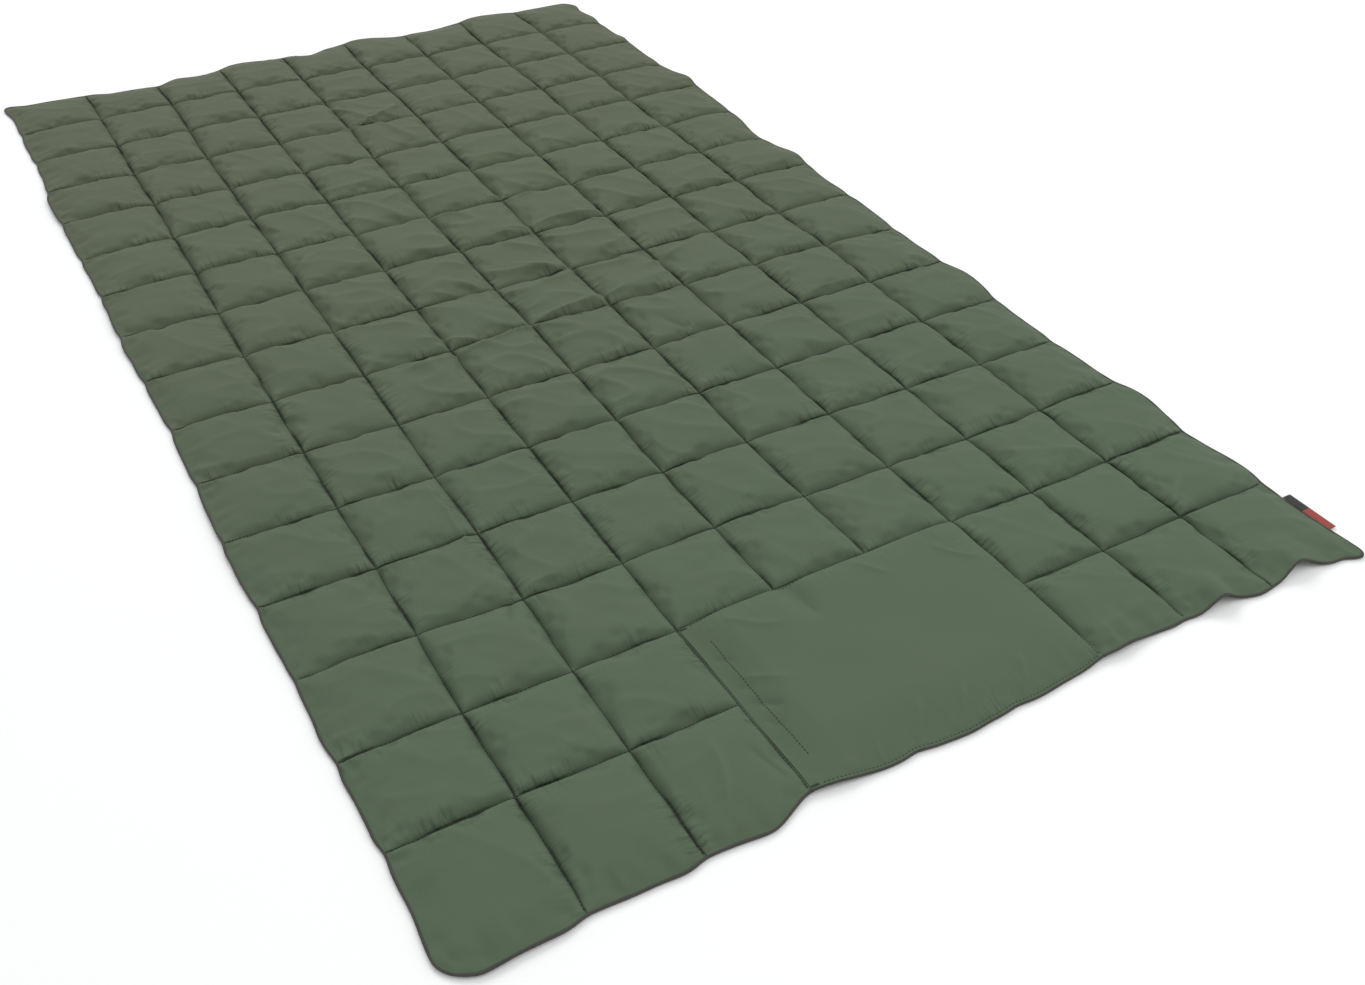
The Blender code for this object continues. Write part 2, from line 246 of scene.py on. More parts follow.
def polyesterTaffeta():
    # calendered polyester taffeta: smoother and a little shinier than the face, with a tight plain weave
    material, tree = newMaterial("polyester_taffeta")
    place = addNode(tree, "ShaderNodeTexCoord").outputs["Object"]
    patches = addNode(tree, "ShaderNodeTexNoise", {"Vector": place, "Scale": 26.0, "Detail": 3.0})
    ramp = addNode(tree, "ShaderNodeValToRGB", {"Fac": patches.outputs["Fac"]})
    ramp.color_ramp.elements[0].position = 0.35
    ramp.color_ramp.elements[0].color = linear(liningLook["color"])
    ramp.color_ramp.elements[1].position = 0.68
    ramp.color_ramp.elements[1].color = linear(liningLook["pale"])
    bump = addNode(tree, "ShaderNodeBump", {"Height": wovenHeight(tree, place, liningLook["thread"]),
                                            "Strength": 0.25, "Distance": 0.0001})
    shader = addNode(tree, "ShaderNodeBsdfPrincipled",
                     {"Base Color": ramp.outputs["Color"], "Roughness": 0.55, "Specular IOR Level": 0.45,
                      "Normal": bump.outputs["Normal"]})
    addNode(tree, "ShaderNodeOutputMaterial", {"Surface": shader.outputs[0]})
    return material


tapeLook = {"dark": "#35342e", "pale": "#48463e", "rib": 0.0010}        # metres from rib to rib


def grosgrainTape():
    # polyester grosgrain: a dull grey-brown tape with a rib across it every millimetre
    material, tree = newMaterial("polyester_grosgrain_tape")
    along = addNode(tree, "ShaderNodeUVMap", uv_map="tape").outputs["UV"]
    place = addNode(tree, "ShaderNodeTexCoord").outputs["Object"]
    ribs = addNode(tree, "ShaderNodeTexWave", {"Vector": along, "Scale": wavePeriod / tapeLook["rib"]},
                   wave_type="BANDS", bands_direction="X", wave_profile="SIN")
    patches = addNode(tree, "ShaderNodeTexNoise", {"Vector": place, "Scale": 55.0, "Detail": 3.0})
    color = addNode(tree, "ShaderNodeMix", {0: patches.outputs["Fac"], 6: linear(tapeLook["dark"]),
                                            7: linear(tapeLook["pale"])}, data_type="RGBA")
    bump = addNode(tree, "ShaderNodeBump",
                   {"Height": ribs.outputs["Fac"], "Strength": 0.5, "Distance": 0.00025})
    shader = addNode(tree, "ShaderNodeBsdfPrincipled",
                     {"Base Color": color.outputs[2], "Roughness": 0.72, "Specular IOR Level": 0.4,
                      "Normal": bump.outputs["Normal"]})
    addNode(tree, "ShaderNodeOutputMaterial", {"Surface": shader.outputs[0]})
    return material


# the thread's green is darkened past the cloth's so that it also paints the shade down in the seams it lies
# in
threadLook = {"dark": "#2e372a", "pale": "#3b4535", "twist": 0.0004}    # metres from turn to turn


def spunThread():
    # spun polyester sewing thread: soft lustre, with the twist of its two plies showing close up
    material, tree = newMaterial("spun_polyester_thread")
    place = addNode(tree, "ShaderNodeTexCoord").outputs["Object"]
    turned = addNode(tree, "ShaderNodeMapping",
                     {"Vector": place, "Rotation": (0.0, 0.0, math.radians(38))})
    twist = addNode(tree, "ShaderNodeTexWave",
                    {"Vector": turned.outputs[0], "Scale": wavePeriod / threadLook["twist"]},
                    wave_type="BANDS", bands_direction="X", wave_profile="SIN")
    color = addNode(tree, "ShaderNodeMix", {0: twist.outputs["Fac"], 6: linear(threadLook["dark"]),
                                            7: linear(threadLook["pale"])}, data_type="RGBA")
    bump = addNode(tree, "ShaderNodeBump",
                   {"Height": twist.outputs["Fac"], "Strength": 0.4, "Distance": 0.0001})
    shader = addNode(tree, "ShaderNodeBsdfPrincipled",
                     {"Base Color": color.outputs[2], "Roughness": 0.7, "Specular IOR Level": 0.2,
                      "Sheen Weight": 0.03, "Normal": bump.outputs["Normal"]})
    addNode(tree, "ShaderNodeOutputMaterial", {"Surface": shader.outputs[0]})
    return material


ribbonRib = 0.0007            # metres from rib to rib


def satinRibbon(name, dark, pale):
    # woven satin label ribbon: fine ribs across its width and a low gloss
    material, tree = newMaterial(name)
    place = addNode(tree, "ShaderNodeTexCoord").outputs["Object"]
    ribs = addNode(tree, "ShaderNodeTexWave", {"Vector": place, "Scale": wavePeriod / ribbonRib},
                   wave_type="BANDS", bands_direction="Y", wave_profile="SIN")
    color = addNode(tree, "ShaderNodeMix", {0: ribs.outputs["Fac"], 6: linear(dark), 7: linear(pale)},
                    data_type="RGBA")
    bump = addNode(tree, "ShaderNodeBump",
                   {"Height": ribs.outputs["Fac"], "Strength": 0.35, "Distance": 0.00012})
    shader = addNode(tree, "ShaderNodeBsdfPrincipled",
                     {"Base Color": color.outputs[2], "Roughness": 0.45, "Normal": bump.outputs["Normal"]})
    addNode(tree, "ShaderNodeOutputMaterial", {"Surface": shader.outputs[0]})
    return material


shellFabric = brushedMicrofibre()
liningFabric = polyesterTaffeta()
bindingTape = grosgrainTape()
sewingThread = spunThread()
print("materials ready")


# the quilting grid, read off the frame

bindingLow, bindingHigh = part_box("binding_left")
halfWidth, halfLength = -bindingLow.x, bindingHigh.y
panelLow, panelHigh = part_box("pocket_panel")

quilt = {
    "innerColumns": 7, "innerRows": 14,
    "borderColumn": 0.128, "borderRow": 0.127,     # metres, the outer cells out to the bound edge
    "steps": 12, "borderSteps": 14,                # grid steps across one cell before it is subdivided
    "bunch": 0.30,                                 # how far the grid crowds towards the seams
    "sheetInset": 0.0018,                          # the cloth ends in the middle of the binding
    "margin": 0.0030,                              # flat strip inside the outer edge
    "edgeReach": 0.060, "edgeRound": 1.45,         # cells thin out more gently towards the outer edge
    "seam": 0.0033, "top": 0.0197,                 # metres above the ground
    "reach": 0.050, "round": 2.8,                  # how far a cell takes to reach its full height
    "underPocket": 0.0062,
    "corner": 0.016,                               # radius of the blanket's corners
}

columnPitch = (2 * halfWidth - 2 * quilt["borderColumn"]) / quilt["innerColumns"]
rowPitch = (2 * halfLength - 2 * quilt["borderRow"]) / quilt["innerRows"]
seamX = -halfWidth + quilt["borderColumn"] + columnPitch * np.arange(quilt["innerColumns"] + 1)
seamY = -halfLength + quilt["borderRow"] + rowPitch * np.arange(quilt["innerRows"] + 1)
foldX = seamX[5]                    # the seams beside the pocket, where the blanket folds
pocketFar = seamY[1]
sheetX, sheetY = halfWidth - quilt["sheetInset"], halfLength - quilt["sheetInset"]


def bunchedLines(marks, half):
    # grid lines from edge to edge, closer together beside each seam
    marks = [-half, *marks, half]
    lines = []
    for k, (a, b) in enumerate(zip(marks[:-1], marks[1:])):
        steps = quilt["borderSteps"] if k in (0, len(marks) - 2) else quilt["steps"]
        t = np.arange(steps) / steps
        lines.append(a + (b - a) * (t - quilt["bunch"] * np.sin(2 * np.pi * t) / (2 * np.pi)))
    return np.append(np.concatenate(lines), half)


columnLines = bunchedLines(seamX, sheetX)
rowLines = bunchedLines(seamY, sheetY)


def gap(values, marks):
    # distance from each value to the nearest mark
    return np.abs(np.asarray(values)[..., None] - np.asarray(marks)).min(-1)


def smooth(t):
    t = np.clip(t, 0, 1)
    return t * t * (3 - 2 * t)


def fabricNoise(u, v, seed):
    # smooth noise between -1 and 1, one bump to each unit
    table = np.random.RandomState(seed).uniform(-1, 1, (97, 97))
    i, j = np.floor(u).astype(int), np.floor(v).astype(int)
    s, t = smooth(u - i), smooth(v - j)
    near = table[i % 97, j % 97] * (1 - s) + table[(i + 1) % 97, j % 97] * s
    far = table[i % 97, (j + 1) % 97] * (1 - s) + table[(i + 1) % 97, (j + 1) % 97] * s
    return near * (1 - t) + far * t


def dome(distance, reach, roundness):
    # the cross-section of a stuffed cell, steep at its seam and flat on top
    t = np.clip(distance / reach, 0, 1)
    return (1 - (1 - t) ** roundness) ** (1 / roundness)


def cellRise(x, y):
    rise = 1
    for place, seams, half in ((x, seamX, sheetX), (y, seamY, sheetY)):
        rise = rise * dome(gap(place, seams), quilt["reach"], quilt["round"])
        rise = rise * dome(half - quilt["margin"] - np.abs(place), quilt["edgeReach"], quilt["edgeRound"])
    return rise


def inPocket(x, y):
    return (np.abs(x) < foldX + 1e-6) & (y < pocketFar + 1e-6)


# how the whole blanket lies: a few waves along its edges and a slight wander of its seams

lie = {
    "reach": 0.105,           # metres over which an edge's push fades inwards
    "liftReach": 0.060,
    "wander": 0.0030, "wanderSize": 0.15,
    "wobble": 0.0011, "wobbleSize": 0.028,
    "foldFree": 0.4, "foldReach": 0.05,          # the fold seams stay nearly straight
    # each seam draws the edge in a little where it ends
    "seamPull": 0.0022, "pullHalf": 0.014, "pullReach": 0.03,
    # pushes outwards, as (place along the edge, millimetres)
    "nearPush": ((-0.54, 8), (-0.50, 24), (-0.44, 21), (-0.38, 16), (-0.32, 18), (-0.27, 14),
                 (-0.23, 17), (-0.17, 0), (-0.09, 9), (0.00, 12), (0.07, 8), (0.17, 1), (0.22, -2),
                 (0.30, 1), (0.34, -1), (0.40, 9), (0.455, 0), (0.50, 12), (0.54, 24)),
    "farPush": ((-0.54, 6), (-0.49, -6), (-0.41, -8), (-0.36, -22), (-0.29, -27), (-0.25, -12),
                (-0.21, -17), (-0.15, 0), (-0.05, -3), (-0.01, -15), (0.03, -2), (0.11, 5),
                (0.16, -4), (0.23, -6), (0.35, 6), (0.51, 6), (0.54, -10)),
    "leftPush": ((-0.95, 2), (-0.88, -1), (-0.60, 1), (-0.42, 4), (-0.20, 0), (-0.08, -1), (0.02, 1),
                 (0.10, 3), (0.25, 2), (0.40, 7), (0.55, 8), (0.65, -1), (0.80, 3), (0.89, 1), (0.95, 8)),
    "rightPush": ((-0.95, 4), (-0.87, 0), (-0.80, 5), (-0.72, -4), (-0.65, 4), (-0.58, -2),
                  (-0.40, -4), (-0.30, 1), (-0.18, -3), (0.00, 2), (0.05, -1), (0.14, 3), (0.26, -8),
                  (0.35, 4), (0.50, 5), (0.62, -1), (0.80, -3), (0.86, 1), (0.91, -5), (0.95, 2)),
    # lifts, as (place along the edge, half width, millimetres)
    "nearLift": ((-0.15, 0.030, 4), (0.20, 0.034, 5), (0.340, 0.019, 13), (0.452, 0.021, 13),
                 (-0.47, 0.05, 2)),
    "farLift": ((-0.13, 0.03, 3), (0.08, 0.04, 5), (0.33, 0.06, 6)),
    "leftLift": ((-0.35, 0.10, 2), (0.15, 0.10, 2), (0.52, 0.08, 3)),
    "rightLift": ((0.15, 0.035, 6), (0.50, 0.040, 8), (-0.30, 0.04, 6), (-0.62, 0.03, 5),
                  (0.72, 0.03, 5)),
}


def pushAt(places, s):
    where, amount = np.array(places, float).T
    k = np.clip(np.searchsorted(where, s) - 1, 0, len(where) - 2)
    t = smooth((s - where[k]) / (where[k + 1] - where[k]))
    return (amount[k] * (1 - t) + amount[k + 1] * t) / 1000


def liftAt(places, s):
    return sum(mm / 1000 * np.exp(-((s - c) / w) ** 2) for c, w, mm in places)


def layOut(points):
    # moves flat, square cloth to where it really lies; every piece goes through here
    points = np.array(points, float)
    x, y = points[..., 0].copy(), points[..., 1].copy()
    free = smooth(np.abs(np.abs(x) - foldX) / lie["foldReach"])
    free = lie["foldFree"] + (1 - lie["foldFree"]) * free
    wander, size = lie["wander"], lie["wanderSize"]
    points[..., 0] += wander * free * fabricNoise(x / size + 3.1, y / size * 0.8 + 0.7, 11)
    points[..., 1] += wander * fabricNoise(x / size * 0.8 + 5.3, y / size + 2.9, 12)
    wobble, size = lie["wobble"], lie["wobbleSize"]
    points[..., 0] += wobble * free * fabricNoise(x / size / 3, y / size, 13)
    points[..., 1] += wobble * fabricNoise(x / size, y / size / 3, 14)
    for along, seams, out, edge, axis, sign, name in (
            (x, seamX, -y, halfLength, 1, -1, "near"), (x, seamX, y, halfLength, 1, 1, "far"),
            (y, seamY, -x, halfWidth, 0, -1, "left"), (y, seamY, x, halfWidth, 0, 1, "right")):
        inside = edge - out
        pulled = lie["seamPull"] * np.exp(-(gap(along, seams) / lie["pullHalf"]) ** 2)
        points[..., axis] += sign * pushAt(lie[name + "Push"], along) * (1 - smooth(inside / lie["reach"]))
        points[..., axis] -= sign * pulled * (1 - smooth(inside / lie["pullReach"]))
        points[..., 2] += liftAt(lie[name + "Lift"], along) * (1 - smooth(inside / lie["liftReach"]))
    return points


def roundCorners(points, radius):
    # draws each square corner in to an arc
    x, y = points[..., 0], points[..., 1]
    u = np.clip((np.abs(x) - (sheetX - radius)) / radius, 0, 1)
    v = np.clip((np.abs(y) - (sheetY - radius)) / radius, 0, 1)
    both = (u > 0) & (v > 0)
    newX = np.sign(x) * (sheetX - radius + radius * u * np.sqrt(1 - v * v / 2))
    newY = np.sign(y) * (sheetY - radius + radius * v * np.sqrt(1 - u * u / 2))
    points[..., 0] = np.where(both, newX, x)
    points[..., 1] = np.where(both, newY, y)
    return points


# meshes

def gridMesh(points, shadeAndWear=None, gathers=None):
    # a grid of quads whose corners are the given rows of points
    rows, columns = points.shape[:2]
    bm = bmesh.new()
    bmesh.ops.create_grid(bm, x_segments=columns - 1, y_segments=rows - 1, size=0.5)
    # each corner's painted shade in grooves, and its wear with painted highlight on crests, for the face
    # material
    shadeWearLayer = bm.verts.layers.float.new("shadeAndWear")
    gathered = bm.verts.layers.float_vector.new("gathers")
    shadeAndWear = np.zeros(rows * columns) if shadeAndWear is None else shadeAndWear.ravel()
    gathers = np.zeros((rows * columns, 3)) if gathers is None else gathers.reshape(-1, 3)
    for vert, place, amount, folds in zip(bm.verts, points.reshape(-1, 3), shadeAndWear, gathers):
        vert.co = place
        vert[shadeWearLayer] = amount
        vert[gathered] = folds
    return bm


def addPiece(name, bm, materials, smoothShade=True):
    mesh = bpy.data.meshes.new(name)
    bm.to_mesh(mesh)
    bm.free()
    for material in materials:
        mesh.materials.append(material)
    mesh.polygons.foreach_set("use_smooth", [smoothShade] * len(mesh.polygons))
    piece = bpy.data.objects.new(name, mesh)
    scene.collection.objects.link(piece)
    return piece


def coordinates(mesh):
    flat = np.empty(3 * len(mesh.vertices), np.float32)
    mesh.vertices.foreach_get("co", flat)
    return flat.reshape(-1, 3).astype(float)


def setCoordinates(mesh, points):
    mesh.vertices.foreach_set("co", np.asarray(points, np.float32).ravel())
    mesh.update()


# the quilted face, puffed by a cloth simulation held down at every stitch line

cloth = {
    "frames": 18, "pressure": 9.0, "spare": 0.012,    # spare cloth, as a share of its size
    "mass": 0.012, "tension": 22.0, "bending": 0.35, "cap": 0.0032,
    "start": 0.92,                      # share of the full height that the cells have before the puffing
    "fuller": 0.16, "fullerSize": 0.13,               # some cells hold more filling than others
    "ripple": 0.0006, "rippleSize": 0.013,            # small unevenness that the puffing grows from
}


def restingFace():
    x, y = np.meshgrid(columnLines, rowLines)
    rise = np.where(inPocket(x, y), quilt["underPocket"], quilt["top"]) - quilt["seam"]
    size = cloth["fullerSize"]
    rise = rise * (1 + cloth["fuller"] * fabricNoise(x / size, y / size, 21))
    z = quilt["seam"] + cloth["start"] * rise * cellRise(x, y)
    size = cloth["rippleSize"]
    z += cloth["ripple"] * fabricNoise(x / size, y / size, 22) * np.minimum(cellRise(x, y) * 2, 1)
    return np.stack([x, y, z], -1)


def puffed(points):
    rows, columns = points.shape[:2]
    mesh = bpy.data.meshes.new("puffing")
    bm = gridMesh(points)
    bm.to_mesh(mesh)
    bm.free()
    sheet = bpy.data.objects.new("puffing", mesh)
    scene.collection.objects.link(sheet)
    x, y = points[..., 0].ravel(), points[..., 1].ravel()
    held = (gap(x, seamX) < 1e-5) | (gap(y, seamY) < 1e-5) | inPocket(x, y)
    held |= (np.abs(x) > sheetX - quilt["margin"]) | (np.abs(y) > sheetY - quilt["margin"])
    group = sheet.vertex_groups.new(name="stitched")
    group.add([int(k) for k in np.nonzero(held)[0]], 1.0, "REPLACE")
    modifier = sheet.modifiers.new("Cloth", "CLOTH")
    settings = modifier.settings
    settings.quality = 5
    settings.mass = cloth["mass"]
    settings.tension_stiffness = settings.compression_stiffness = cloth["tension"]
    settings.shear_stiffness = cloth["tension"] / 3
    settings.bending_stiffness = cloth["bending"]
    settings.vertex_group_mass = "stitched"
    settings.shrink_min = -cloth["spare"]
    settings.use_pressure = True
    settings.uniform_pressure_force = cloth["pressure"]
    settings.effector_weights.gravity = 0
    modifier.collision_settings.use_collision = False
    modifier.point_cache.frame_start = 1
    modifier.point_cache.frame_end = cloth["frames"]
    for number in range(1, cloth["frames"] + 1):
        scene.frame_set(number)
    settled = sheet.evaluated_get(bpy.context.evaluated_depsgraph_get())
    moved = coordinates(settled.data).reshape(rows, columns, 3) - points
    scene.frame_set(1)
    bpy.data.objects.remove(sheet, do_unlink=True)
    bpy.data.meshes.remove(mesh)
    far = np.linalg.norm(moved, axis=-1, keepdims=True)
    print(f"cloth moved {far.max() * 1000:.1f} mm at most, {far.mean() * 1000:.2f} mm on average")
    return points + moved * np.minimum(1, cloth["cap"] / np.maximum(far, 1e-9))


def halver(count, seams):
    # weights that put a new line midway between each two, curved inside a cell and creased at its seams
    weights = np.zeros((2 * count - 1, count))
    weights[::2] = np.eye(count)
    stops = {0, count - 1, *seams}
    for k in range(count - 1):
        row = weights[2 * k + 1]
        if k in stops:
            row[k:k + 3] = 0.375, 0.75, -0.125
        elif k + 1 in stops:
            row[k - 1:k + 2] = -0.125, 0.75, 0.375
        else:
            row[k - 1:k + 3] = -0.0625, 0.5625, 0.5625, -0.0625
    return weights


seamColumns = [int(np.abs(columnLines - s).argmin()) for s in seamX]
seamRows = [int(np.abs(rowLines - s).argmin()) for s in seamY]
face = restingFace()
face = puffed(face)
print("face puffed")
fineColumns, fineRows = columnLines, rowLines
for _ in range(2):
    halveColumns, halveRows = halver(len(fineColumns), seamColumns), halver(len(fineRows), seamRows)
    face = np.einsum("aj,jik,bi->abk", halveRows, face, halveColumns, optimize=True)
    fineColumns, fineRows = halveColumns @ fineColumns, halveRows @ fineRows
    seamColumns, seamRows = [2 * k for k in seamColumns], [2 * k for k in seamRows]


# creases from packing, puckers beside the stitches and a soft rumple in the middle

rumple = {
    "pucker": 0.0007, "puckerPitch": 0.0130, "puckerReach": 0.009,
    "gatherReach": 0.0110,
    "edgeFold": 0.0026, "edgePitch": 0.021, "edgeFoldReach": 0.024,
    "soft": 0.0016, "softSize": 0.050,
    "crumple": 1.8, "crumpleX": 0.30, "crumpleY": 0.38,     # packed tightest in the middle
    "flatten": 0.69,          # the filling settles after the puffing
    "limit": 0.0166, "give": 0.0034,
    "reliefPasses": 6, "reliefHeight": 0.0011,      # a crest this far above the cloth around it gets the full pale of wear and painted highlight, and a groove this far below gets the full painted shade
    # packing creases: from x, y to x, y in metres, then height and half width in millimetres
    "creases": (
        (-0.250, -0.150, -0.090, -0.128, 5.0, 5), (-0.125, -0.136, 0.110, -0.088, 6.0, 6),
        (-0.215, -0.080, -0.115, -0.130, 4.2, 4), (-0.020, 0.045, 0.060, -0.015, 4.2, 5),
        (-0.185, -0.265, -0.125, -0.280, 3.4, 4), (-0.010, -0.142, 0.055, -0.122, -3.4, 6),
        (-0.060, -0.120, 0.000, -0.160, 3.6, 4), (-0.070, 0.700, 0.030, 0.485, 4.2, 5),
        (-0.085, 0.570, 0.055, 0.635, 5.0, 5), (0.005, 0.138, 0.175, 0.132, 3.8, 5),
        (-0.315, -0.365, -0.300, -0.500, 3.2, 4), (0.130, -0.060, 0.240, -0.030, 4.2, 5),
        (0.030, 0.255, 0.125, 0.215, 3.6, 5), (-0.160, 0.025, -0.070, -0.020, 3.4, 5),
        (-0.420, 0.620, -0.330, 0.560, 3.0, 5), (0.300, -0.640, 0.400, -0.690, 3.4, 5),
        (0.400, -0.820, 0.470, -0.760, 3.4, 5), (-0.250, -0.930, -0.225, -0.850, 3.6, 4),
        (-0.330, -0.640, -0.280, -0.560, -3.0, 4), (-0.180, -0.935, -0.200, -0.870, -3.4, 5),
        (-0.120, 0.300, -0.040, 0.330, 3.4, 5), (0.180, 0.400, 0.260, 0.345, 3.4, 5),
        (-0.300, 0.150, -0.240, 0.200, 3.2, 5), (0.090, -0.180, 0.120, -0.240, -3.2, 5),
    ),
}


def creaseHeight(x, y, creases):
    total = np.zeros_like(x)
    for x1, y1, x2, y2, height, width in creases:
        dx, dy = x2 - x1, y2 - y1
        length = math.hypot(dx, dy)
        along = ((x - x1) * dx + (y - y1) * dy) / length
        off = ((y - y1) * dx - (x - x1) * dy) / length
        off = off + 0.006 * fabricNoise(along / 0.05, along * 0 + height * 7.7, 31)
        run = min(0.03, 0.35 * length)
        ends = smooth(along / run) * smooth((length - along) / run)
        total += height / 1000 * ends * np.exp(-np.abs(off) / (width / 1000))
    return total


def puckers(along, across, seams, seed):
    # short folds that run out from a stitch line into the cell
    nearest = np.abs(across[..., None] - np.asarray(seams)).argmin(-1)
    off = across - np.asarray(seams)[nearest]
    shift = nearest * 31.7 + (off > 0) * 13.3
    folds = fabricNoise(along / rumple["puckerPitch"] + shift, np.abs(off) / 0.045 + shift, seed)
    drawn = np.clip(0.45 + 0.9 * fabricNoise(along / 0.06 + shift, shift, seed + 1), 0, 1.3)
    off = np.abs(off)
    fade = np.exp(-off / rumple["puckerReach"]) * (1 - np.exp(-off / 0.002))
    return rumple["pucker"] * drawn * fade * (1.6 * (1 - np.abs(folds)) ** 2 - 0.6)


def gathersAt(x, y):
    # how strongly the cloth puckers beside the lengthways and the crosswise seams; none under the pocket
    strength = []
    for along, across, seams, seed, most in ((y, x, seamX, 81, 1.0), (x, y, seamY, 82, 1.4)):
        off = gap(across, seams)
        drawn = most * np.clip(0.35 + 1.1 * fabricNoise(along / 0.03, across / 0.06, seed), 0.05, 1.2)
        strength.append(drawn * np.exp(-off / rumple["gatherReach"]) * (1 - np.exp(-off / 0.0015)))
    return np.stack([*strength, np.zeros_like(x)], -1) * ~inPocket(x, y)[..., None]


def edgeFolds(along, inside, seams, seed):
    # gathers that run in from the bound edge, most of them where a seam meets it
    folds = fabricNoise(along / rumple["edgePitch"] + seed, inside / 0.06 + seed, seed)
    gathered = 0.45 + 0.55 * np.exp(-gap(along, seams) / 0.022)
    fade = smooth(inside / 0.012) * np.exp(-np.maximum(inside - 0.010, 0) / rumple["edgeFoldReach"])
    return rumple["edgeFold"] * gathered * fade * (1.5 * (1 - np.abs(folds)) ** 2 - 0.75)


def detailed(points, x, y):
    points = points.copy()
    z = quilt["seam"] + (points[..., 2] - quilt["seam"]) * rumple["flatten"]
    held = np.minimum(gap(x, seamX), gap(y, seamY))
    edge = np.minimum(sheetX - np.abs(x), sheetY - np.abs(y))
    loose = smooth(held / 0.012) * smooth((edge - 0.006) / 0.02)
    under = inPocket(x, y)
    puckered = puckers(y, x, seamX, 41) + puckers(x, y, seamY, 43)
    z += np.where(under, 0, puckered) * smooth((edge - 0.004) / 0.006)
    for along, inside, seams, seed in ((x, sheetY + y, seamX, 71), (x, sheetY - y, seamX, 72),
                                       (y, sheetX + x, seamY, 73), (y, sheetX - x, seamY, 74)):
        z += np.where(under, 0, edgeFolds(along, inside, seams, seed))
    folded = 1 - np.abs(fabricNoise(x / rumple["softSize"] + 0.4 * y / 0.03, y / rumple["softSize"], 47))
    packed = 1 + rumple["crumple"] * np.exp(-(x / rumple["crumpleX"]) ** 2 - (y / rumple["crumpleY"]) ** 2)
    z += rumple["soft"] * packed * (folded ** 3 - 0.3) * loose * ~under
    z = np.where(held < 1e-5, quilt["seam"], z)
    # the packing creases cross the seams
    z += creaseHeight(x, y, rumple["creases"]) * smooth((edge - 0.004) / 0.016) * ~under
    over = np.maximum(z - rumple["limit"], 0)
    z = np.minimum(z, rumple["limit"]) + rumple["give"] * (1 - np.exp(-over / rumple["give"]))
    points[..., 2] = np.maximum(z, quilt["seam"])
    return points


def shadeAndRub(z):
    # how far each point stands above or below the cloth around it, from -1 to 1; it sets the painted shade
    # in grooves and the paler crests
    level = z.copy()
    for _ in range(rumple["reliefPasses"]):
        level[1:-1] = (level[:-2] + 2 * level[1:-1] + level[2:]) / 4
        level[:, 1:-1] = (level[:, :-2] + 2 * level[:, 1:-1] + level[:, 2:]) / 4
    return np.clip((z - level) / rumple["reliefHeight"], -1, 1)


def cut(array, a, b):
    return array[:, a:b + 1]


lining = {
    "ground": 0.0003, "gap": 0.0006,                # metres up to the sheet, and from it to the filling
    "drawn": 0.0013, "drawnReach": 0.006,
    "ripple": 0.0004, "rippleReach": 0.010, "rippleSize": 0.009,
    "thickness": 0.0003,
}


def liningHeight(x, y):
    # the underside lies on the ground and is drawn up a little at each seam
    held = np.minimum(gap(x, seamX), gap(y, seamY))
    size = lining["rippleSize"]
    drawn = lining["drawn"] * np.exp(-held / lining["drawnReach"])
    ripple = lining["ripple"] * np.exp(-held / lining["rippleReach"]) * fabricNoise(x / size, y / size, 51)
    return lining["ground"] + drawn + np.maximum(ripple, 0)


def paddedBody(name, top, bottom, shadeAndWear, gathers, creased):
    # the quilted face closed underneath by a coarser grid, welded along its rim
    rows, columns = top.shape[:2]
    rowStep, columnStep = 8, 2
    under = bottom.reshape(-1, 3)
    bm = gridMesh(top, shadeAndWear, gathers)
    place = bm.verts.layers.int.new("place")
    for k, vert in enumerate(bm.verts):
        vert[place] = k
    sharp = creased.ravel()
    for edge in bm.edges:
        a, b = edge.verts
        if sharp[a[place]] & sharp[b[place]]:
            edge.smooth = False
        if edge.is_boundary:
            edge.smooth = False
    rim = bmesh.ops.extrude_edge_only(bm, edges=[e for e in bm.edges if e.is_boundary])["geom"]
    for item in rim:
        if isinstance(item, bmesh.types.BMVert):
            item.co = under[item[place]]
    base = bmesh.new()
    bmesh.ops.create_grid(base, x_segments=(columns - 1) // columnStep, y_segments=(rows - 1) // rowStep,
                          size=0.5)
    spot = base.verts.layers.int.new("place")
    for k, vert in enumerate(base.verts):
        j, i = divmod(k, (columns - 1) // columnStep + 1)
        vert[spot] = j * rowStep * columns + i * columnStep
    for edge in [e for e in base.edges if e.is_boundary]:
        a, b = edge.verts
        first, last = a[spot], b[spot]
        count = rowStep if abs(last - first) >= columns else columnStep
        for k in range(1, count):
            edge, a = bmesh.utils.edge_split(edge, a, 1 / (count - k + 1))
            a[spot] = first + (last - first) * k // count
            edge = next(e for e in a.link_edges if b in e.verts)
    for vert in base.verts:
        vert.co = under[vert[spot]]
    for face in base.faces:
        face.normal_flip()
    spare = bpy.data.meshes.new("spare")
    base.to_mesh(spare)
    base.free()
    bm.from_mesh(spare)
    bpy.data.meshes.remove(spare)
    loose = [v for v in bm.verts if any(e.is_boundary for e in v.link_edges)]
    bmesh.ops.remove_doubles(bm, verts=loose, dist=1e-6)
    print(name, "open edges:", sum(e.is_boundary for e in bm.edges))
    bm.verts.layers.int.remove(bm.verts.layers.int["place"])
    return addPiece(name, bm, [shellFabric])


flatX, flatY = np.meshgrid(fineColumns, fineRows)
top = detailed(face, flatX, flatY)
